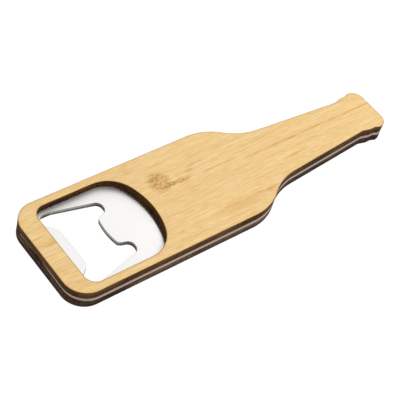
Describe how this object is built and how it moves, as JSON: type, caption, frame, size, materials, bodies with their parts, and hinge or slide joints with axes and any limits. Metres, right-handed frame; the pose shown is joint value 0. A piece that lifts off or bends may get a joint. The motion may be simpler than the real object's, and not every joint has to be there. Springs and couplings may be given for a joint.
{
  "type": "bottle opener",
  "caption": "Flat bottle-shaped opener: a stainless plate between two bamboo panels, with a D-shaped window where the plate's catch and tongue lift a crown cap.",
  "frame": {"origin": "middle of the outline, on the rear panel's outer face", "axes": "+X from the base of the bottle shape to its mouth, +Z out of the front panel, +Y across the body"},
  "size_m": [0.15, 0.0414, 0.0074],
  "materials": {
    "bamboo": "sanded bamboo with dark laser-cut edges",
    "stainless": "fine lengthwise brushing, half gloss",
    "adhesive": "translucent pressure-sensitive film, seen edge on"
  },
  "bodies": {
    "root": {"front_panel": "bamboo", "front_adhesive_film": "adhesive", "opener_plate": "stainless", "rear_adhesive_film": "adhesive", "rear_panel": "bamboo"}
  },
  "joints": []
}
